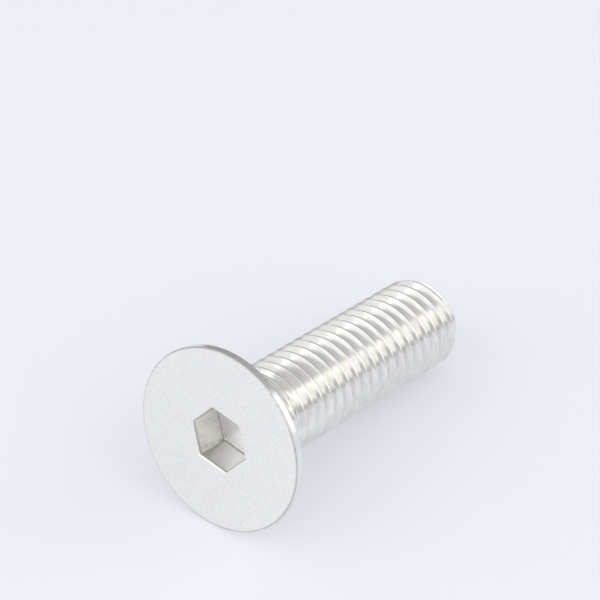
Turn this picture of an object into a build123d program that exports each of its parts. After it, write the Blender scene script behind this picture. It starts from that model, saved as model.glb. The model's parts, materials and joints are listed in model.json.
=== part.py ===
from build123d import *
from math import asin, atan2, ceil, cos, floor, radians, sin, sqrt, tan
import os

# A stainless M10 x 35 screw with a flat countersunk head and a hexagon socket, in one
# piece. It is drawn as it lies at rest on the floor, z = 0: on the back edge of its head's
# rim and on the last full crest of its thread, with its axis sinking a little from the
# head towards the tip. X runs along the screw and Z is up.

os.makedirs("parts", exist_ok=True)

# Length over all, from the head's flat face to the tip.
length = 35.0

# Head: an upright rim with its edges just broken, then the ninety-degree countersink.
head_d = 20.0
rim_land = 0.85
rim_round = 0.15
countersink_half_angle = 45.0

# Thread: metric coarse, right-hand. The crests stand a little inside the nominal size,
# as they do on a screw that has to run freely in its nut.
thread_d = 10.0
thread_play = 0.03
pitch = 1.5
flank_half_angle = 30.0
crest_flat = pitch / 8
thread_depth = 0.6134 * pitch

# The tip's bevel starts a little under the root of the thread.
tip_undercut = 0.1

# Hexagon socket: the key's width across flats and how much wider the socket is. The turn
# is the angle of one corner from the foot of the head.
key_across_flats = 6.0
key_play = 0.06
socket_depth = 4.0
socket_turn = 40.0
mouth_bevel = 0.1

# The groove is cut in short runs of whole turns, each from the underside of the screw
# back to it. The first starts inside the head, this far before the countersink ends, each
# of the others takes up where the one before it ends, and the last one leaves the tip.
groove_lead = 1.265
turns_per_run = 3
groove_mouth_play = 0.1

# Behind the countersink the groove rises out of its full depth over one turn.
runout_step = 0.25
runout_length = pitch

head_r = head_d / 2
crest_r = (thread_d - thread_play) / 2
root_r = crest_r - thread_depth
tip_r = root_r - tip_undercut
flank_slope = tan(radians(flank_half_angle))
root_flat = pitch - crest_flat - 2 * thread_depth * flank_slope
head_h = rim_land + (head_r - crest_r) / tan(radians(countersink_half_angle))
groove_start = head_h - groove_lead
socket_af = key_across_flats + key_play

# Under the screw the crests stand half a pitch off the groove's start. This is the far
# edge of the last one that the tip's bevel leaves whole.
bevel_start = length - (crest_r - tip_r)
first_crest = groove_start + pitch / 2
whole_crests = floor((bevel_start - crest_flat / 2 - first_crest) / pitch)
last_crest = first_crest + whole_crests * pitch + crest_flat / 2

run_length = turns_per_run * pitch
runs = ceil((length + pitch / 2 - groove_start) / run_length)
spare = groove_start + runs * run_length + pitch - length

# The tilt at which the rim's rounded back edge and that crest touch one floor, and the
# height at which this holds the middle of the head's face.
round_centre = rim_land - rim_round * tan(radians(countersink_half_angle / 2))
reach = last_crest - round_centre
drop = head_r - rim_round - crest_r
tilt = atan2(drop, reach) + asin(rim_round / sqrt(reach**2 + drop**2))
face_height = rim_round + round_centre * sin(tilt) + (head_r - rim_round) * cos(tilt)

# Half the floor length that the screw spans, from the face's low edge to the tip.
half_span = (rim_round + (head_r - rim_round) * sin(tilt) - rim_round * cos(tilt)) / 2
half_span = half_span + (length * cos(tilt) + tip_r * sin(tilt)) / 2

# The working plane: its origin is the middle of the head's face, its z runs down the
# screw's axis to the tip and its x points to the foot of the head. Round forms are drawn
# in the level half of the screw's long section, a quarter turn from the groove's joins.
lying = Plane(
    origin=((head_r - rim_round) * sin(tilt) + rim_round - rim_round * cos(tilt) - half_span, 0, face_height),
    x_dir=(-sin(tilt), 0, -cos(tilt)),
    z_dir=(cos(tilt), 0, -sin(tilt)),
)
long_section = Plane(origin=lying.origin, x_dir=lying.y_dir, z_dir=lying.x_dir)
screw_axis = Axis(lying.origin, lying.z_dir)

# One run of the groove between the crests, drawn upright. Its mouth reaches a little past
# the crests, so that it cuts clear of the shank.
with BuildPart() as groove:
    with BuildLine() as helix:
        Helix(pitch=pitch, height=run_length, radius=root_r, center=(0, 0, groove_start))
    with BuildSketch(Plane(origin=(0, 0, groove_start), x_dir=(1, 0, 0), z_dir=(0, -1, 0))) as groove_section:
        mouth_r = crest_r + groove_mouth_play
        mouth_half = root_flat / 2 + (mouth_r - root_r) * flank_slope
        with BuildLine():
            Polyline(
                (root_r, -root_flat / 2),
                (mouth_r, -mouth_half),
                (mouth_r, mouth_half),
                (root_r, root_flat / 2),
                close=True,
            )
        make_face()
    sweep(sections=groove_section.sketch, path=helix.line, is_frenet=True)

with BuildPart(lying) as screw:
    # The shank, turned to the crests and left too long.
    with BuildSketch(lying.offset(head_h / 2)):
        Circle(crest_r)
    extrude(amount=length + spare - head_h / 2)

    # The thread groove, run after run.
    for run in range(runs):
        with Locations((0, 0, run * run_length)):
            add(groove.part, mode=Mode.SUBTRACT)

    # The tip, cut to length and bevelled.
    with BuildSketch(long_section):
        with BuildLine():
            Polyline(
                (0, length),
                (tip_r, length),
                (tip_r + 2 * thread_depth, length - 2 * thread_depth),
                (tip_r + 2 * thread_depth, length + 2 * spare),
                (0, length + 2 * spare),
                close=True,
            )
        make_face()
    revolve(axis=screw_axis, mode=Mode.SUBTRACT)

    # The head, with the short cone behind it on which the groove runs out.
    with BuildSketch(long_section) as head_section:
        with BuildLine():
            Polyline(
                (0, 0),
                (head_r, 0),
                (head_r, rim_land),
                (crest_r - runout_step, head_h + runout_step),
                (root_r - tip_undercut, head_h + runout_step + runout_length),
                (0, head_h + runout_step + runout_length),
                close=True,
            )
        make_face()
        fillet(head_section.vertices().group_by(Axis.X)[-1], rim_round)
    revolve(axis=screw_axis)

    # The hexagon socket, flat at the bottom, with its mouth just broken.
    with BuildSketch(lying):
        RegularPolygon(radius=socket_af / 2, side_count=6, major_radius=False, rotation=socket_turn)
    extrude(amount=socket_depth, mode=Mode.SUBTRACT)
    chamfer(screw.edges(Select.LAST).sort_by(screw_axis)[:6], mouth_bevel)

screw.part.label = "screw"
export_step(screw.part, "parts/screw.step")
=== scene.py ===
"""A stainless countersunk socket screw, dressed and lit on a pale studio floor.

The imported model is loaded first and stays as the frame. The screw is one piece of steel, so
it is one mesh: a closed surface that runs from the middle of the socket's floor, up its
walls, over the face and the rim of the head, down the countersink, along the thread and over
the tip to the middle of its end. Lengths are in millimetres until a mesh is written.
"""

import json
import logging
import math
from dataclasses import dataclass, field
from enum import Enum

import bpy
import numpy as np
from mathutils import Matrix, Vector

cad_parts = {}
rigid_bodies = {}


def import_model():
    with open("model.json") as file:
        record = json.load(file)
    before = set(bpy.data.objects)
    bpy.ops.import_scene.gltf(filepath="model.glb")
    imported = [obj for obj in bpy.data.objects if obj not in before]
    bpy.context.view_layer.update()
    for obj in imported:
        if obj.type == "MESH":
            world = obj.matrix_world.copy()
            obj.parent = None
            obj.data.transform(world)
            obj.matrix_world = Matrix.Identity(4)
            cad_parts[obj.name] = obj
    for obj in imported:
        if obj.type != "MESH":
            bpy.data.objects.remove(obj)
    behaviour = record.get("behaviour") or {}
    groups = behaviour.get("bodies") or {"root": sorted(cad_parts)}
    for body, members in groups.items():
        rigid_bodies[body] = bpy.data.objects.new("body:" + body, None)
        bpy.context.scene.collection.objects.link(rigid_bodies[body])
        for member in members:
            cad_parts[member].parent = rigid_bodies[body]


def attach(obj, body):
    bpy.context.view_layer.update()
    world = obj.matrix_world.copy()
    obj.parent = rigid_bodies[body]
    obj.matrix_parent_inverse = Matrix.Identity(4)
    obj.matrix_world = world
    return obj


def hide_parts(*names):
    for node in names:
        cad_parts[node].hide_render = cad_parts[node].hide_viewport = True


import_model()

log = logging.getLogger("screw_scene")

MILLIMETRE = 0.001

# Points that fall in the same step of this grid, a tenth of a micrometre, are one point.
WELD_STEPS_PER_MM = 1e4

# How fine the noises of the steel are, and the levels of noise between which its colour and
# its roughness go from dull to clean.
GRAIN_DETAIL = 3.0
GRAIN_BREAK_UP = 0.6
PATCH_DETAIL = 2.0
COLOUR_LEVELS = (0.3, 0.55)
ROUGHNESS_LEVELS = (0.35, 0.65)

# Height of the screw's middle over the floor in metres, at which the soft boxes aim.
AIM_HEIGHT = 0.008

# Where the rings of points lie on each flat and wall, as shares of its width. They are
# closer together at an edge that is rounded.
FLOOR_RINGS = (0.0, 0.25, 0.5, 0.75, 0.94, 1.0)
FACE_RINGS = (0.01, 0.06, 0.15, 0.3, 0.45, 0.6, 0.75, 0.88, 0.96, 0.99, 1.0)
TIP_RINGS = (0.985, 0.93, 0.8, 0.6, 0.4, 0.2, 0.0)
WALL_RINGS = (0.95, 0.8, 0.6, 0.4, 0.2, 0.06)
LAND_RINGS = (0.06, 0.5, 0.94)


class Region(Enum):
    """The parts of the surface that were made in different ways, in material slot order."""

    FACE = 0
    RIM = 1
    THREAD = 2
    SOCKET = 3
    SOCKET_FLOOR = 4
    EDGE = 5


def linear_colour(code: str) -> tuple[float, float, float, float]:
    """Turns a hex colour into linear light.

    The sRGB curve is c / 12.92 up to 0.04045 and ((c + 0.055) / 1.055) ** 2.4 above it.

    Args:
        code: The colour as "#RRGGBB".

    Returns:
        Red, green and blue in linear light, and an alpha of one.
    """
    share = np.array([int(code[k : k + 2], 16) for k in (1, 3, 5)]) / 255.0
    curve = np.where(share <= 0.04045, share / 12.92, ((share + 0.055) / 1.055) ** 2.4)
    return (float(curve[0]), float(curve[1]), float(curve[2]), 1.0)


def add_node(
    tree: bpy.types.NodeTree,
    kind: str,
    settings: dict[str, object] | None = None,
    values: dict[str | int, object] | None = None,
    links: dict[str | int, bpy.types.NodeSocket] | None = None,
) -> bpy.types.Node:
    """Adds one node to a node tree.

    Args:
        tree: The node tree that takes it.
        kind: Blender's name of the node type.
        settings: Properties of the node itself.
        values: Constants for its input sockets, by name or index.
        links: Output sockets that feed its input sockets, by name or index.

    Returns:
        The new node.
    """
    node = tree.nodes.new(kind)
    for name, value in (settings or {}).items():
        setattr(node, name, value)
    for name, value in (values or {}).items():
        node.inputs[name].default_value = value
    for name, source in (links or {}).items():
        tree.links.new(source, node.inputs[name])
    return node


@dataclass(frozen=True)
class Sizes:
    """The screw's sizes in millimetres and degrees, the same ones that the model has.

    Attributes:
        length: From the head's flat face to the tip's flat end.
        head_diameter: Over the rim.
        rim_land: How far the upright rim reaches from the face to the countersink.
        rim_round: Radius of the rim's two broken edges.
        cone_half_angle: Half the countersink's ninety degrees.
        thread_diameter: Over the crests.
        pitch: From crest to crest.
        thread_depth: From the crests to the bottom of the groove.
        crest_flat: Width of a crest's flat top.
        flank_half_angle: How far a flank leans from upright.
        tip_undercut: How far the tip's flat end is inside the root of the thread.
        socket_across_flats: Width of the hexagon socket.
        socket_depth: From the face to the socket's floor.
        socket_turn: The angle of one of its corners from the foot of the head.
        groove_lead: How far the groove starts before the countersink ends.
        runout_step: How far the run-out behind the head starts inside the crests.
    """

    length: float = 35.0
    head_diameter: float = 20.0
    rim_land: float = 0.85
    rim_round: float = 0.15
    cone_half_angle: float = 45.0
    thread_diameter: float = 9.97
    pitch: float = 1.5
    thread_depth: float = 0.9201
    crest_flat: float = 0.1875
    flank_half_angle: float = 30.0
    tip_undercut: float = 0.1
    socket_across_flats: float = 6.06
    socket_depth: float = 4.0
    socket_turn: float = 40.0
    groove_lead: float = 1.265
    runout_step: float = 0.25

    @property
    def head_r(self) -> float:
        """Radius of the head."""
        return self.head_diameter / 2

    @property
    def crest_r(self) -> float:
        """Radius over the thread's crests."""
        return self.thread_diameter / 2

    @property
    def root_r(self) -> float:
        """Radius at the bottom of the thread's groove."""
        return self.crest_r - self.thread_depth

    @property
    def tip_r(self) -> float:
        """Radius of the flat end of the tip."""
        return self.root_r - self.tip_undercut

    @property
    def head_h(self) -> float:
        """Height of the head, where its ninety-degree cone meets the crests."""
        return self.rim_land + self.head_r - self.crest_r

    @property
    def rim_back(self) -> float:
        """Where the centre of the rim's back rounding stands along the axis."""
        return self.rim_land - self.rim_round * math.tan(math.radians(self.cone_half_angle / 2))

    @property
    def groove_start(self) -> float:
        """Where the groove passes the foot line of the screw, inside the head."""
        return self.head_h - self.groove_lead

    def lie(self) -> np.ndarray:
        """Works out how the screw lies on the floor.

        The rounded back edge of the rim and the last whole crest of the thread touch z = 0.
        With reach along the axis and drop across it between those two, the axis sinks by
        atan(drop / reach) + asin(round / hypot(reach, drop)).

        Returns:
            A 4 x 3 matrix of rows: the origin in the middle of the head's face, the
            direction of the head's foot, the level direction, and the axis to the tip.
        """
        bevel_start = self.length - (self.crest_r - self.tip_r)
        first = self.groove_start + self.pitch / 2
        turns = math.floor((bevel_start - self.crest_flat / 2 - first) / self.pitch)
        last = first + turns * self.pitch + self.crest_flat / 2
        inner = self.head_r - self.rim_round
        reach = last - self.rim_back
        drop = inner - self.crest_r
        tilt = math.atan2(drop, reach) + math.asin(self.rim_round / math.hypot(reach, drop))
        sine, cosine = math.sin(tilt), math.cos(tilt)
        low_edge = inner * sine + self.rim_round * (1 - cosine)
        span = low_edge + self.length * cosine + self.tip_r * sine
        height = self.rim_round + self.rim_back * sine + inner * cosine
        origin = np.array([low_edge - span / 2, 0.0, height])
        foot = np.array([-sine, 0.0, -cosine])
        axis = np.array([cosine, 0.0, -sine])
        return np.stack([origin, foot, np.cross(axis, foot), axis])


def smooth_max(a: np.ndarray, b: np.ndarray, soft: float) -> np.ndarray:
    """The larger of two arrays with the corner rounded: (a + b + sqrt((a - b)^2 + soft^2)) / 2.

    Args:
        a: One array.
        b: The other.
        soft: How wide the rounding is, in the arrays' unit.

    Returns:
        An array a little above the larger one where the two cross.
    """
    return (a + b + np.sqrt((a - b) ** 2 + soft**2)) / 2


@dataclass
class Rows:
    """Rows of points along the screw's surface, each over all columns, in the screw's frame.

    Attributes:
        points: Blocks of rows by columns by three.
        regions: The region of each row.
    """

    points: list[np.ndarray] = field(default_factory=list)
    regions: list[Region] = field(default_factory=list)

    def add(self, x: np.ndarray, y: np.ndarray, z: np.ndarray, region: Region) -> None:
        """Adds rows of points.

        Args:
            x: Rows by columns, or one row, across the screw.
            y: The same, across the screw.
            z: The same, or a value for each row, along the axis.
            region: What the strip that ends at each row belongs to.
        """
        stack = np.stack(np.broadcast_arrays(x, y, z), axis=-1)
        stack = stack.reshape(-1, stack.shape[-2], 3)
        self.points.append(stack)
        self.regions.extend([region] * len(stack))

    def grid(self) -> tuple[np.ndarray, np.ndarray]:
        """Returns all rows as one array of points, and the region of each row."""
        return np.concatenate(self.points), np.array([r.value for r in self.regions])


@dataclass
class Socket:
    """The hexagon socket: a flat floor, six walls and a mouth with its edge just broken.

    Attributes:
        sizes: The screw's sizes.
        corner_round: Radius between two walls, in millimetres like the next two.
        floor_round: Radius between the walls and the floor.
        mouth_round: Radius between the walls and the face.
    """

    sizes: Sizes
    corner_round: float = 0.12
    floor_round: float = 0.22
    mouth_round: float = 0.18

    def hexagon(self, turn: np.ndarray, apothem: float, corner: float) -> np.ndarray:
        """Walks round a hexagon with rounded corners.

        In the sector of each corner, a ray at angle a from the corner's bisector meets the
        side at apothem / cos(30 deg - |a|). Near the corner it meets the rounding instead,
        a circle of radius c whose centre is d = (apothem - c) / cos(30 deg) out on the
        bisector: d cos(a) + sqrt(c^2 - d^2 sin(a)^2), where that is the smaller of the two.

        Args:
            turn: The columns' angles in radians.
            apothem: Half the width across flats.
            corner: Radius of the rounding at the corners.

        Returns:
            x and y of each column's point, stacked.
        """
        half = math.pi / 6
        offset = turn - math.radians(self.sizes.socket_turn)
        a = (offset + half) % (2 * half) - half
        side = apothem / np.cos(half - np.abs(a))
        d = (apothem - corner) / math.cos(half)
        inside = np.maximum(corner**2 - (d * np.sin(a)) ** 2, 0.0)
        arc = d * np.cos(a) + np.sqrt(inside)
        touch = math.atan2(corner * math.sin(half), d + corner * math.cos(half))
        radius = np.where(np.abs(a) < touch, np.minimum(arc, side), side)
        return np.stack([radius * np.cos(turn), radius * np.sin(turn)])

    def mouth(self, turn: np.ndarray) -> np.ndarray:
        """Returns the hexagon where the mouth's rounding meets the face, for these angles."""
        half = self.sizes.socket_across_flats / 2
        return self.hexagon(turn, half + self.mouth_round, self.corner_round + self.mouth_round)

    def add_rows(self, rows: Rows, turn: np.ndarray) -> None:
        """Adds the floor from its middle outwards, the walls and the mouth.

        Args:
            rows: The surface so far.
            turn: The columns' angles in radians.
        """
        half = self.sizes.socket_across_flats / 2
        depth = self.sizes.socket_depth
        wall = self.hexagon(turn, half, self.corner_round)
        flat = self.hexagon(turn, half - self.floor_round, self.corner_round)
        share = np.array(FLOOR_RINGS)[:, None]
        rows.add(share * flat[0], share * flat[1], np.full_like(share, depth), Region.SOCKET_FLOOR)
        bend = np.radians(np.linspace(22.5, 90.0, 4))[:, None]
        out = np.sin(bend)
        rows.add(
            flat[0] + (wall[0] - flat[0]) * out,
            flat[1] + (wall[1] - flat[1]) * out,
            depth - self.floor_round * (1 - np.cos(bend)),
            Region.SOCKET,
        )
        top = self.mouth_round
        z = top + (depth - self.floor_round - top) * np.array(WALL_RINGS)[:, None]
        rows.add(wall[0], wall[1], z, Region.SOCKET)
        lip = self.mouth(turn)
        bend = np.radians(np.linspace(0.0, 90.0, 5))[:, None]
        out = 1 - np.cos(bend)
        rows.add(
            wall[0] + (lip[0] - wall[0]) * out,
            wall[1] + (lip[1] - wall[1]) * out,
            top * (1 - np.sin(bend)),
            Region.FACE,
        )


@dataclass
class Head:
    """The flat face round the socket, and the rim with its broken edges.

    Attributes:
        sizes: The screw's sizes.
        socket: The socket, whose mouth the face starts from.
    """

    sizes: Sizes
    socket: Socket

    def add_rows(self, rows: Rows, turn: np.ndarray) -> None:
        """Adds the face from the socket's mouth outwards, then the rim down to the cone.

        Args:
            rows: The surface so far.
            turn: The columns' angles in radians.
        """
        s = self.sizes
        inner = self.socket.mouth(turn)
        edge = s.head_r - s.rim_round
        outer = np.stack([edge * np.cos(turn), edge * np.sin(turn)])
        share = np.array(FACE_RINGS)[:, None]
        rows.add(
            inner[0] + (outer[0] - inner[0]) * share,
            inner[1] + (outer[1] - inner[1]) * share,
            np.zeros_like(share),
            Region.FACE,
        )
        # The rim's profile: a quarter round, the upright land, an eighth round to the cone.
        bend = np.radians(np.linspace(11.25, 90.0, 8))
        r = edge + s.rim_round * np.sin(bend)
        z = s.rim_round * (1 - np.cos(bend))
        self.ring(rows, turn, r, z, Region.EDGE)
        z = s.rim_round + (s.rim_back - s.rim_round) * np.array(LAND_RINGS)
        self.ring(rows, turn, np.full_like(z, s.head_r), z, Region.RIM)
        bend = np.radians(np.linspace(0.0, s.cone_half_angle, 5))
        r = edge + s.rim_round * np.cos(bend)
        z = s.rim_back + s.rim_round * np.sin(bend)
        self.ring(rows, turn, r, z, Region.RIM)

    @staticmethod
    def ring(rows: Rows, turn: np.ndarray, r: np.ndarray, z: np.ndarray, region: Region) -> None:
        """Adds round rows: x = r cos(turn), y = r sin(turn).

        Args:
            rows: The surface so far.
            turn: The columns' angles in radians.
            r: Radius of each row.
            z: Place of each row along the axis.
            region: What the rows belong to.
        """
        r = r[:, None]
        rows.add(r * np.cos(turn), r * np.sin(turn), z[:, None], region)


@dataclass
class Shank:
    """The countersink's cone, the thread with its run-out, and the bevelled tip.

    Attributes:
        sizes: The screw's sizes.
        root_round: Radius at the bottom of the groove, as the dies roll it.
        crest_round: Radius at the two edges of a crest.
        collar_soft: How softly the thread runs into the collar behind the head.
        bevel_slope: Fall of the tip's bevel for each millimetre along the axis.
        bevel_soft: How softly the bevel cuts the turns.
        neck_soft: How softly the countersink runs into the neck.
        bead_place: Where the bead lies behind the start of the run-out.
        bead_r: Distance of the bead's centre from the axis.
        bead_round: Radius of the bead.
        bead_soft: How softly the bead stands on the neck.
        cone_lead: Where the cone's rows start past the rim's land, as a share of rim_round.
    """

    sizes: Sizes
    root_round: float = 0.2165
    crest_round: float = 0.07
    collar_soft: float = 0.05
    bevel_slope: float = 0.78
    bevel_soft: float = 0.22
    neck_soft: float = 0.25
    bead_place: float = 0.62
    bead_r: float = 4.52
    bead_round: float = 0.26
    bead_soft: float = 0.03
    cone_lead: float = 0.297

    def thread_profile(self) -> tuple[np.ndarray, np.ndarray]:
        """Draws one pitch of the thread, from the middle of a crest to the next.

        From the crest's middle: half the flat, an arc of 60 degrees and radius crest_round,
        the flank at 30 degrees from upright, and an arc of 60 degrees and radius root_round
        that touches both flanks. The other half is its mirror image.

        Returns:
            Places along the axis from 0 to one pitch, without the last, and depths there.
        """
        s = self.sizes
        slope = math.tan(math.radians(s.flank_half_angle))
        bend = 90.0 - s.flank_half_angle
        corner = self.crest_round * math.tan(math.radians(bend / 2))
        a = np.radians(np.linspace(0.0, bend, 4))
        crest_x = s.crest_flat / 2 - corner + self.crest_round * np.sin(a)
        crest_d = self.crest_round * (1 - np.cos(a))
        b = np.radians(np.linspace(bend, 0.0, 5))
        root_x = s.pitch / 2 - self.root_round * np.sin(b)
        root_d = s.thread_depth - self.root_round * (1 - np.cos(b))
        flank_x = np.linspace(crest_x[-1], root_x[0], 3)[1:-1]
        flank_d = crest_d[-1] + (flank_x - crest_x[-1]) / slope
        x = np.concatenate([[0.0], crest_x, flank_x, root_x])
        d = np.concatenate([[0.0], crest_d, flank_d, root_d])
        return np.concatenate([x, s.pitch - x[-2:0:-1]]), np.concatenate([d, d[-2:0:-1]])

    def add_rows(self, rows: Rows, turn: np.ndarray) -> None:
        """Adds the cone and the thread, up to the tip's flat end.

        The rows follow the helix: along a column at angle t, the same point of the profile
        stands pitch * t / 360 deg further down. So one turn on, a row meets the row that is
        one profile further, and the two ends of the threaded rows are held at the cone's
        start and at the tip. The radius there is the larger of the collar's and the smaller
        of the thread's and the tip bevel's, with the corners between them rounded. The
        collar is the cone, its fall to the thread's root, and a round bead between them,
        bead_r + sqrt(bead_round^2 - off^2), where the rolling dies pushed the steel up.

        Args:
            rows: The surface so far.
            turn: The columns' angles in radians, ending with a full turn.
        """
        s = self.sizes
        x, depth = self.thread_profile()
        start = s.rim_land + s.rim_round * self.cone_lead
        first = s.groove_start + s.pitch / 2
        before = math.ceil((first - start) / s.pitch) + 1
        after = math.ceil((s.length - first) / s.pitch) + 1
        base = first + s.pitch * np.arange(-before, after)
        z = (base[:, None] + x[None, :]).ravel()[:, None] + s.pitch * turn / (2 * math.pi)
        deep = np.tile(depth, before + after)[:, None]
        z = np.clip(z, start, s.length)
        thread = s.crest_r - deep
        bevel = s.tip_r + (s.length - z) * self.bevel_slope
        thread = -smooth_max(-thread, -bevel, self.bevel_soft)
        cone = s.head_r + s.rim_land - z
        step_r = s.crest_r - s.runout_step
        step_z = s.head_h + s.runout_step
        end_r = s.root_r - s.tip_undercut
        fall = (step_r - end_r) / s.pitch
        neck = np.minimum(step_r - fall * (z - step_z), step_r)
        collar = smooth_max(cone, neck, self.neck_soft)
        off = z - (step_z + self.bead_place)
        bead = self.bead_r + np.sqrt(np.maximum(self.bead_round**2 - off**2, 0.0))
        bead = np.where(np.abs(off) < self.bead_round, bead, 0.0)
        collar = smooth_max(collar, bead, self.bead_soft)
        r = smooth_max(thread, collar, self.collar_soft)
        r = np.where(z <= start, cone, r)
        r = np.where(z >= s.length, s.tip_r, r)
        rows.add(r * np.cos(turn), r * np.sin(turn), z, Region.THREAD)

    def add_tip(self, rows: Rows, turn: np.ndarray) -> None:
        """Adds the flat end: rings of falling radius down to the middle.

        Args:
            rows: The surface so far.
            turn: The columns' angles in radians.
        """
        s = self.sizes
        share = np.array(TIP_RINGS)
        Head.ring(rows, turn, s.tip_r * share, np.full_like(share, s.length), Region.FACE)


@dataclass
class Screw:
    """The whole screw, built from its socket, head and shank as one closed mesh.

    Attributes:
        sizes: The screw's sizes.
        columns: How many columns of faces go round the axis.
        smooth_below: Edges that bend less than these degrees are shaded smooth.
    """

    sizes: Sizes = field(default_factory=Sizes)
    columns: int = 180
    smooth_below: float = 40.0

    def build(self) -> bpy.types.Object:
        """Works out the surface and makes it a mesh object.

        Returns:
            The screw's object, at the origin, with its place in its mesh.
        """
        turn = np.linspace(0.0, 2 * math.pi, self.columns + 1)
        rows = Rows()
        socket = Socket(self.sizes)
        socket.add_rows(rows, turn)
        Head(self.sizes, socket).add_rows(rows, turn)
        shank = Shank(self.sizes)
        shank.add_rows(rows, turn)
        shank.add_tip(rows, turn)
        return self.weld(*rows.grid())

    def weld(self, points: np.ndarray, regions: np.ndarray) -> bpy.types.Object:
        """Closes the grid of points into one mesh.

        Points nearer than a tenth of a micrometre are one, which closes the seam, the poles
        and the held ends of the helix. Faces that lose two corners to that are dropped, and
        those that lose one become triangles.

        Args:
            points: Rows by columns by three, in the screw's frame, in millimetres.
            regions: The region's number for each row.

        Returns:
            The new object.
        """
        count, width = points.shape[:2]
        lie = self.sizes.lie()
        world = lie[0] + points @ lie[1:]
        keys = np.round(world.reshape(-1, 3) * WELD_STEPS_PER_MM).astype(np.int64)
        _, index, member = np.unique(keys, axis=0, return_index=True, return_inverse=True)
        vertices = world.reshape(-1, 3)[index] * MILLIMETRE
        member = member.reshape(count, width)
        # The grid runs from the socket's floor outwards, and this order turns it outwards.
        a, b = member[:-1, :-1], member[:-1, 1:]
        c, d = member[1:, 1:], member[1:, :-1]
        quads = np.stack([a, b, c, d], axis=-1).reshape(-1, 4)
        slots = np.repeat(regions[1:], width - 1)
        same = quads == np.roll(quads, -1, axis=1)
        lost = same.sum(axis=1)
        whole, whole_slots = quads[lost == 0], slots[lost == 0]
        one = lost == 1
        drop = np.argmax(same[one], axis=1)
        keep = (drop[:, None] + np.array([1, 2, 3])) % 4
        thirds = np.take_along_axis(quads[one], keep, axis=1)
        true = (np.diff(np.sort(thirds, axis=1), axis=1) > 0).all(axis=1)
        mesh = bpy.data.meshes.new("screw_surface")
        mesh.from_pydata(vertices.tolist(), [], whole.tolist() + thirds[true].tolist())
        slots = np.concatenate([whole_slots, slots[one][true]]).astype(np.int32)
        mesh.polygons.foreach_set("material_index", slots)
        mesh.polygons.foreach_set("use_smooth", np.ones(len(slots), bool))
        mesh.set_sharp_from_angle(angle=math.radians(self.smooth_below))
        mesh.update()
        body = bpy.data.objects.new("screw_body", mesh)
        bpy.context.scene.collection.objects.link(body)
        return body


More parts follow.
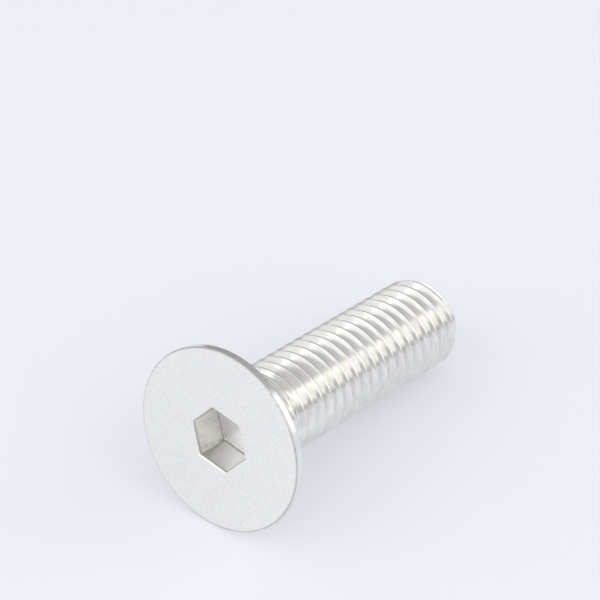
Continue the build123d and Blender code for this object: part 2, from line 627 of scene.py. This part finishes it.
@dataclass(frozen=True)
class SteelFinish:
    """Bare stainless steel as one of the screw's makers' steps left it.

    Attributes:
        name: The material's name.
        light: Its colour where it is clean.
        dark: Its colour in the dull specks.
        roughness: Roughness where it is smoothest, and where it is dullest.
        grain: Size of the fine grain in millimetres, across and along the screw's axis.
        relief: Height of the grain in millimetres.
        patch: Size of the slow changes in millimetres.
        blend: Share of the slow changes in the whole pattern.
        deep: Painted shade, the share of the colour left at the socket's depth under the face.
    """

    name: str
    light: str
    dark: str
    roughness: tuple[float, float]
    grain: tuple[float, float]
    relief: float
    patch: float
    blend: float
    deep: float = 1.0

    def material(self, sizes: Sizes) -> bpy.types.Material:
        """Builds the node tree.

        Args:
            sizes: The screw's sizes, for how it lies.

        Returns:
            The material.
        """
        material = bpy.data.materials.new(self.name)
        material.use_nodes = True
        tree = material.node_tree
        tree.nodes.clear()
        turned = self.turned_place(tree, sizes)
        fine, both = self.noises(tree, turned)
        bump = add_node(
            tree,
            "ShaderNodeBump",
            {},
            {"Strength": 1.0, "Distance": self.relief * MILLIMETRE},
            {"Height": fine},
        ).outputs["Normal"]
        steel = add_node(
            tree,
            "ShaderNodeBsdfPrincipled",
            {},
            {"Metallic": 1.0},
            {
                "Base Color": self.colour(tree, both, turned, sizes),
                "Roughness": self.dullness(tree, both),
                "Normal": bump,
            },
        )
        add_node(tree, "ShaderNodeOutputMaterial", links={"Surface": steel.outputs["BSDF"]})
        return material

    @staticmethod
    def turned_place(tree: bpy.types.NodeTree, sizes: Sizes) -> bpy.types.NodeSocket:
        """Turns Object coordinates into the screw's frame, so that z runs along its axis.

        Args:
            tree: The material's node tree.
            sizes: The screw's sizes, for how it lies.

        Returns:
            The turned place, in metres.
        """
        place = add_node(tree, "ShaderNodeTexCoord").outputs["Object"]
        axis = sizes.lie()[3]
        tilt = math.atan2(-axis[2], axis[0])
        return add_node(
            tree,
            "ShaderNodeMapping",
            {"vector_type": "POINT"},
            {"Rotation": (0.0, -math.pi / 2 - tilt, 0.0)},
            {"Vector": place},
        ).outputs["Vector"]

    def noises(
        self, tree: bpy.types.NodeTree, turned: bpy.types.NodeSocket
    ) -> tuple[bpy.types.NodeSocket, bpy.types.NodeSocket]:
        """Adds the noise of the grain and the slow one of the patches.

        A noise whose scale is 1000 / size has grains of that size in millimetres.

        Args:
            tree: The material's node tree.
            turned: The place in the screw's frame.

        Returns:
            The grain alone, and the grain blended with the patches.
        """
        across, along = self.grain
        grains = add_node(
            tree,
            "ShaderNodeMapping",
            {"vector_type": "POINT"},
            {"Scale": (1000 / across, 1000 / across, 1000 / along)},
            {"Vector": turned},
        ).outputs["Vector"]
        fine = add_node(
            tree,
            "ShaderNodeTexNoise",
            {"noise_dimensions": "3D"},
            {"Scale": 1.0, "Detail": GRAIN_DETAIL, "Roughness": GRAIN_BREAK_UP},
            {"Vector": grains},
        ).outputs["Fac"]
        slow = add_node(
            tree,
            "ShaderNodeTexNoise",
            {"noise_dimensions": "3D"},
            {"Scale": 1000 / self.patch, "Detail": PATCH_DETAIL},
            {"Vector": turned},
        ).outputs["Fac"]
        both = add_node(
            tree,
            "ShaderNodeMix",
            {"data_type": "FLOAT"},
            {"Factor": self.blend},
            {2: fine, 3: slow},
        ).outputs[0]
        return fine, both

    def colour(
        self,
        tree: bpy.types.NodeTree,
        both: bpy.types.NodeSocket,
        turned: bpy.types.NodeSocket,
        sizes: Sizes,
    ) -> bpy.types.NodeSocket:
        """Colours the steel by the noise and darkens it with the socket's depth, as painted shade.

        Args:
            tree: The material's node tree.
            both: The grain blended with the patches.
            turned: The place in the screw's frame.
            sizes: The screw's sizes, for where its face is and how deep the socket is.

        Returns:
            The colour.
        """
        ramp = add_node(tree, "ShaderNodeValToRGB", links={"Fac": both})
        stops = ramp.color_ramp.elements
        for stop, level, code in zip(stops, COLOUR_LEVELS, (self.dark, self.light)):
            stop.position = level
            stop.color = linear_colour(code)
        lie = sizes.lie()
        face = float(lie[0] @ lie[3]) * MILLIMETRE
        along = add_node(tree, "ShaderNodeSeparateXYZ", links={"Vector": turned}).outputs["Z"]
        # Painted shade: from the face to the socket's floor the colour falls to the share deep.
        left = add_node(
            tree,
            "ShaderNodeMapRange",
            {"clamp": True},
            {
                "From Min": face,
                "From Max": face + sizes.socket_depth * MILLIMETRE,
                "To Min": 1.0,
                "To Max": self.deep,
            },
            {"Value": along},
        ).outputs["Result"]
        return add_node(
            tree,
            "ShaderNodeVectorMath",
            {"operation": "SCALE"},
            {},
            {0: ramp.outputs["Color"], "Scale": left},
        ).outputs["Vector"]

    def dullness(
        self, tree: bpy.types.NodeTree, both: bpy.types.NodeSocket
    ) -> bpy.types.NodeSocket:
        """Makes the steel roughest where the noise is low, in the dull specks.

        Args:
            tree: The material's node tree.
            both: The grain blended with the patches.

        Returns:
            The roughness.
        """
        smooth, dull = self.roughness
        low, high = ROUGHNESS_LEVELS
        return add_node(
            tree,
            "ShaderNodeMapRange",
            {"clamp": True},
            {"From Min": low, "From Max": high, "To Min": dull, "To Max": smooth},
            {"Value": both},
        ).outputs["Result"]


# Cold-formed face, tumbled after: satin, a fine even grain that scatters the light softly. The
# real grain is finer than 0.22 mm, which is as coarse as it needs to be to show. The tip's flat
# end has the same look.
FACE_FINISH = SteelFinish(
    name="tumbled_stainless_face",
    light="#F5F4F1",
    dark="#E9E8E5",
    roughness=(0.32, 0.46),
    grain=(0.22, 0.22),
    relief=0.015,
    patch=2.6,
    blend=0.16,
)
# Rim: pressed bright by the heading die, with faint lines round the axis.
RIM_FINISH = SteelFinish(
    name="headed_stainless_rim",
    light="#EFEFEE",
    dark="#DADAD9",
    roughness=(0.12, 0.2),
    grain=(3.0, 0.1),
    relief=0.001,
    patch=1.8,
    blend=0.4,
)
# Rolled thread and countersink: burnished by the dies, almost a mirror, with streaks along the
# groove.
THREAD_FINISH = SteelFinish(
    name="rolled_stainless_thread",
    light="#F1F0EE",
    dark="#E0DFDD",
    roughness=(0.13, 0.22),
    grain=(2.4, 0.12),
    relief=0.001,
    patch=1.4,
    blend=0.4,
)
# Punched socket walls, dragged smooth along the punch. Their colour falls to grey with the
# depth: painted shade for the dimmer light deep in the recess.
SOCKET_STEEL_AND_DEPTH_SHADE = SteelFinish(
    name="punched_stainless_socket_and_depth_shade",
    light="#FBF9F4",
    dark="#F2F0EB",
    roughness=(0.22, 0.3),
    grain=(0.4, 3.0),
    relief=0.0003,
    patch=1.2,
    blend=0.4,
    deep=0.68,
)
# The socket's floor, pressed flat by the punch's end: pale and satin, it takes its light
# from the walls in one soft gradient.
SOCKET_FLOOR_FINISH = SteelFinish(
    name="pressed_stainless_socket_floor",
    light="#FFFFFF",
    dark="#FAFAFB",
    roughness=(0.28, 0.36),
    grain=(0.3, 0.3),
    relief=0.001,
    patch=1.6,
    blend=0.3,
)
# The broken edge round the face, trimmed and not polished: a thin dull line round the disc.
# Its dark colour is partly the trimmed steel and partly a painted dark reflection.
EDGE_TRIM_AND_PAINTED_REFLECTION = SteelFinish(
    name="trimmed_stainless_edge_and_painted_reflection",
    light="#D2D2D1",
    dark="#B4B4B3",
    roughness=(0.3, 0.45),
    grain=(0.4, 0.4),
    relief=0.004,
    patch=1.6,
    blend=0.4,
)


@dataclass(frozen=True)
class SoftBox:
    """A soft box that faces the screw, placed by the direction in which the screw sees it.

    Attributes:
        name: The light's name.
        azimuth: Direction on the floor in degrees, from +X towards +Y.
        elevation: Degrees above the floor.
        distance: Metres from the screw.
        wide: Degrees that it spans across.
        high: Degrees that it spans upwards.
        radiance: How bright its face looks, where 1 is white.
        colour: The colour of its light.
    """

    name: str
    azimuth: float
    elevation: float
    distance: float
    wide: float
    high: float
    radiance: float
    colour: str = "#FFFFFF"

    def build(self) -> bpy.types.Object:
        """Makes the area light.

        Spans are turned into sizes by 2 distance tan(span / 2). A light of power P, width a
        and height b has a radiance of P / (pi a b).

        Returns:
            The light's object.
        """
        a, e = math.radians(self.azimuth), math.radians(self.elevation)
        way = Vector((math.cos(a) * math.cos(e), math.sin(a) * math.cos(e), math.sin(e)))
        width = 2 * self.distance * math.tan(math.radians(self.wide / 2))
        height = 2 * self.distance * math.tan(math.radians(self.high / 2))
        data = bpy.data.lights.new(self.name, "AREA")
        data.shape = "RECTANGLE"
        data.size, data.size_y = width, height
        data.energy = self.radiance * math.pi * width * height
        data.color = linear_colour(self.colour)[:3]
        light = bpy.data.objects.new(self.name, data)
        bpy.context.scene.collection.objects.link(light)
        light.rotation_mode = "QUATERNION"
        light.rotation_quaternion = (-way).to_track_quat("-Z", "Y")
        light.location = Vector((0.0, 0.0, AIM_HEIGHT)) + way * self.distance
        return light


@dataclass(frozen=True)
class Camera:
    """The camera, where the photographer's stood.

    Attributes:
        place: Where it stands, in millimetres.
        forward: The direction in which it looks.
        up: A direction that is upright in the picture.
        focal_px: Its focal length in pixels of the picture.
        picture_px: Width of the picture in pixels.
        sensor_mm: Width of its sensor.
        clip_m: The nearest and the farthest that it sees, in metres.
    """

    place: tuple[float, float, float] = (-211.95, -168.71, 220.85)
    forward: tuple[float, float, float] = (0.62153, 0.50354, -0.60012)
    up: tuple[float, float, float] = (0.47274, 0.36977, 0.79986)
    focal_px: float = 3328.0
    picture_px: float = 600.0
    sensor_mm: float = 36.0
    clip_m: tuple[float, float] = (0.01, 10.0)

    def build(self) -> bpy.types.Object:
        """Makes the camera and gives it to the scene.

        Returns:
            The camera's object.
        """
        data = bpy.data.cameras.new("camera")
        data.sensor_width = self.sensor_mm
        data.lens = self.focal_px / self.picture_px * self.sensor_mm
        data.clip_start, data.clip_end = self.clip_m
        camera = bpy.data.objects.new("camera", data)
        bpy.context.scene.collection.objects.link(camera)
        forward = Vector(self.forward).normalized()
        right = forward.cross(Vector(self.up)).normalized()
        up = right.cross(forward).normalized()
        turn = Matrix((right, up, -forward)).transposed().to_4x4()
        turn.translation = Vector(self.place) * MILLIMETRE
        camera.matrix_world = turn
        bpy.context.scene.camera = camera
        return camera


@dataclass
class Studio:
    """A pale floor, soft lights and the world round them.

    Attributes:
        floor_paint: Colour of the floor's paint.
        floor_glow: The colour that the camera and the steel see on it besides.
        floor_lift: How much of that they see.
        floor_half: Half the floor's width, in metres.
        levels: The world's brightness at elevations in degrees.
        dark_side: Azimuth and elevation of the middle of its dark side.
        dark_spread: Degrees off that middle where the dark side ends, and where it is full.
        dark_share: Share of the brightness that is left there.
        boxes: The soft boxes.
    """

    floor_paint: str = "#D2D4DA"
    floor_glow: str = "#F4F7FD"
    floor_lift: float = 0.31
    floor_half: float = 1.5
    levels: tuple[tuple[float, float], ...] = (
        (0.0, 0.53),
        (30.0, 0.6),
        (54.0, 0.82),
        (68.0, 0.73),
        (90.0, 0.73),
    )
    dark_side: tuple[float, float] = (24.0, 26.0)
    dark_spread: tuple[float, float] = (50.0, 22.0)
    dark_share: float = 0.68
    boxes: tuple[SoftBox, ...] = (
        SoftBox("front_box", -78.0, 31.0, 0.8, 60.0, 42.0, 0.7, "#FFFCF2"),
        SoftBox("front_left_box", -138.0, 34.0, 0.8, 50.0, 38.0, 0.44),
        SoftBox("right_front_box", -38.0, 22.0, 0.8, 22.0, 44.0, 0.66),
        SoftBox("low_left_box", 165.0, 12.0, 0.8, 38.0, 24.0, 1.35),
        SoftBox("left_box", 168.0, 43.0, 0.8, 42.0, 38.0, 0.44),
        SoftBox("back_left_box", 132.0, 30.0, 0.8, 30.0, 50.0, 0.35),
        SoftBox("back_card", 75.0, 20.0, 0.8, 30.0, 40.0, 0.22, "#E8EFFF"),
    )

    def build(self) -> None:
        """Makes the floor, the world and the lights."""
        self.make_floor()
        self.make_world()
        for box in self.boxes:
            box.build()

    def make_floor(self) -> None:
        """Makes the floor: one square, painted matt."""
        side = np.array([-self.floor_half, self.floor_half])
        x, y = np.meshgrid(side, side)
        points = np.stack([x, y, np.zeros_like(x)], axis=-1).reshape(-1, 3)
        mesh = bpy.data.meshes.new("floor_surface")
        mesh.from_pydata(points.tolist(), [], [[0, 1, 3, 2]])
        floor = bpy.data.objects.new("floor", mesh)
        bpy.context.scene.collection.objects.link(floor)
        material = bpy.data.materials.new("matt_floor_paint")
        material.use_nodes = True
        tree = material.node_tree
        tree.nodes.clear()
        paint = add_node(
            tree,
            "ShaderNodeBsdfDiffuse",
            values={"Color": linear_colour(self.floor_paint)},
        )
        # The ground that the camera and the steel see is paler than the lamps make it, so
        # that the screw's shadow on it is light. Nothing else is lit by that.
        path = add_node(tree, "ShaderNodeLightPath")
        seen = add_node(
            tree,
            "ShaderNodeMath",
            {"operation": "ADD", "use_clamp": True},
            {},
            {0: path.outputs["Is Camera Ray"], 1: path.outputs["Is Glossy Ray"]},
        ).outputs["Value"]
        strength = add_node(
            tree,
            "ShaderNodeMath",
            {"operation": "MULTIPLY"},
            {1: self.floor_lift},
            {0: seen},
        ).outputs["Value"]
        lift = add_node(
            tree,
            "ShaderNodeEmission",
            values={"Color": linear_colour(self.floor_glow)},
            links={"Strength": strength},
        )
        both = add_node(
            tree,
            "ShaderNodeAddShader",
            links={0: paint.outputs["BSDF"], 1: lift.outputs["Emission"]},
        )
        add_node(tree, "ShaderNodeOutputMaterial", links={"Surface": both.outputs["Shader"]})
        mesh.materials.append(material)

    def make_world(self) -> None:
        """Makes the world a pale tent with one dark side.

        A ramp over the height of the direction, the sine of its elevation, gives the level.
        Towards the middle of the dark side that falls to a share.
        """
        world = bpy.data.worlds.new("studio_tent")
        world.use_nodes = True
        tree = world.node_tree
        tree.nodes.clear()
        way = add_node(tree, "ShaderNodeTexCoord").outputs["Generated"]
        height = add_node(tree, "ShaderNodeSeparateXYZ", links={"Vector": way}).outputs["Z"]
        tent = add_node(tree, "ShaderNodeValToRGB", links={"Fac": height})
        stops = tent.color_ramp.elements
        for elevation, _ in self.levels[1:-1]:
            stops.new(math.sin(math.radians(elevation)))
        for stop, (_, level) in zip(stops, self.levels):
            stop.color = (level, level, level, 1.0)
        a, e = np.radians(self.dark_side).tolist()
        edge, full = np.cos(np.radians(self.dark_spread)).tolist()
        middle = (math.cos(a) * math.cos(e), math.sin(a) * math.cos(e), math.sin(e))
        near = add_node(
            tree,
            "ShaderNodeVectorMath",
            {"operation": "DOT_PRODUCT"},
            {1: middle},
            {0: way},
        ).outputs["Value"]
        share = add_node(
            tree,
            "ShaderNodeMapRange",
            {"clamp": True, "interpolation_type": "SMOOTHSTEP"},
            {
                "From Min": edge,
                "From Max": full,
                "To Min": 1.0,
                "To Max": self.dark_share,
            },
            {"Value": near},
        ).outputs["Result"]
        air = add_node(
            tree,
            "ShaderNodeBackground",
            links={"Color": tent.outputs["Color"], "Strength": share},
        )
        add_node(tree, "ShaderNodeOutputWorld", links={"Surface": air.outputs["Background"]})
        bpy.context.scene.world = world


def main() -> None:
    """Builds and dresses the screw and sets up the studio."""
    logging.basicConfig(level=logging.INFO, format="%(message)s")
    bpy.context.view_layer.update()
    sizes = Sizes()
    body = Screw(sizes).build()
    finishes = {
        Region.FACE: FACE_FINISH,
        Region.RIM: RIM_FINISH,
        Region.THREAD: THREAD_FINISH,
        Region.SOCKET: SOCKET_STEEL_AND_DEPTH_SHADE,
        Region.SOCKET_FLOOR: SOCKET_FLOOR_FINISH,
        Region.EDGE: EDGE_TRIM_AND_PAINTED_REFLECTION,
    }
    for region in Region:
        body.data.materials.append(finishes[region].material(sizes))
    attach(body, "root")
    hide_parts("screw")
    log.info("screw_body: %d faces", len(body.data.polygons))
    Studio().build()
    Camera().build()
    bpy.context.scene.view_settings.view_transform = "Standard"


if __name__ == "__main__":
    main()
